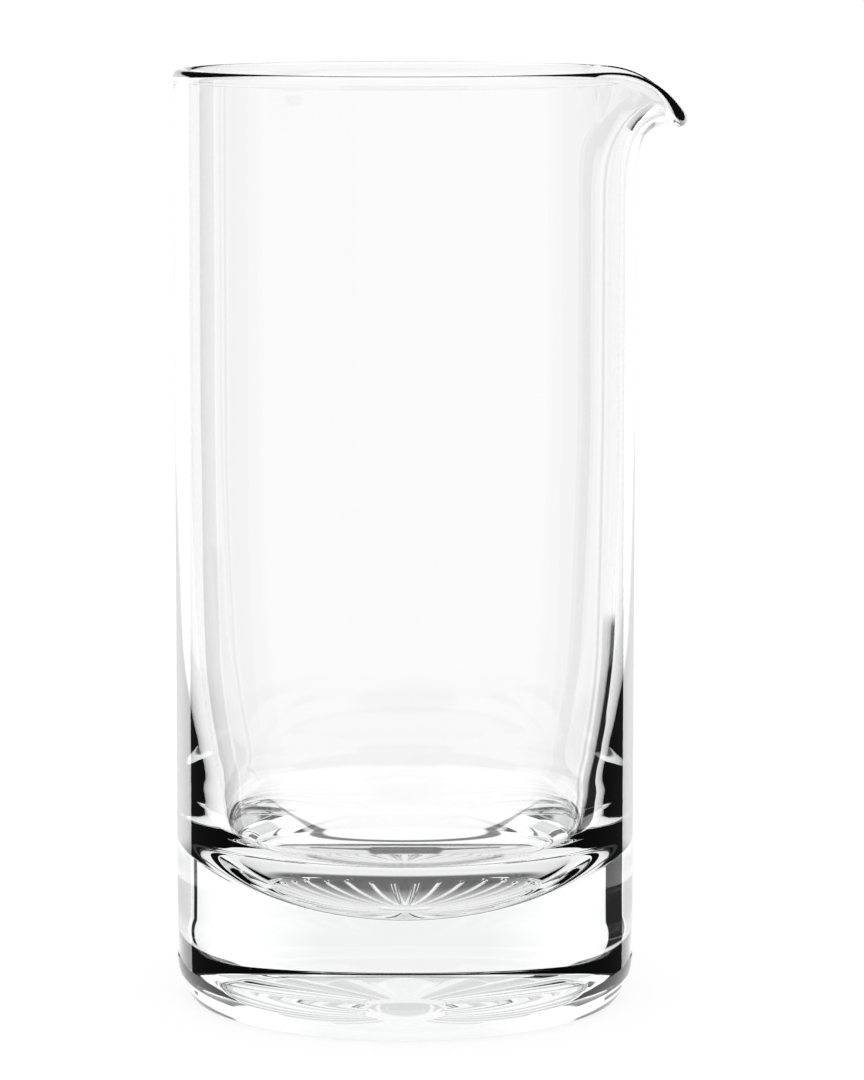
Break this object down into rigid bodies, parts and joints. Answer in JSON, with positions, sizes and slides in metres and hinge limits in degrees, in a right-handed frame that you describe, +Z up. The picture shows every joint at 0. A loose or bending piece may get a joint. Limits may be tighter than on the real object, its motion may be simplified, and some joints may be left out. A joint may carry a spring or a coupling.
{
  "type": "mixing glass",
  "caption": "Tall straight-sided clear glass vessel for stirring drinks, with a heavy rayed base, a rounded rim bead and a pulled pouring lip.",
  "frame": {"origin": "centre of the foot ring, in the plane that the glass stands on", "axes": "+Z up along the axis of the glass, towards the mouth; +X towards the pouring lip"},
  "size_m": [0.0977, 0.0882, 0.178],
  "materials": {
    "clear_glass": "fire-polished, colourless, clear"
  },
  "bodies": {
    "root": {"heavy_base": "clear_glass", "glass_body": "clear_glass"}
  },
  "joints": []
}
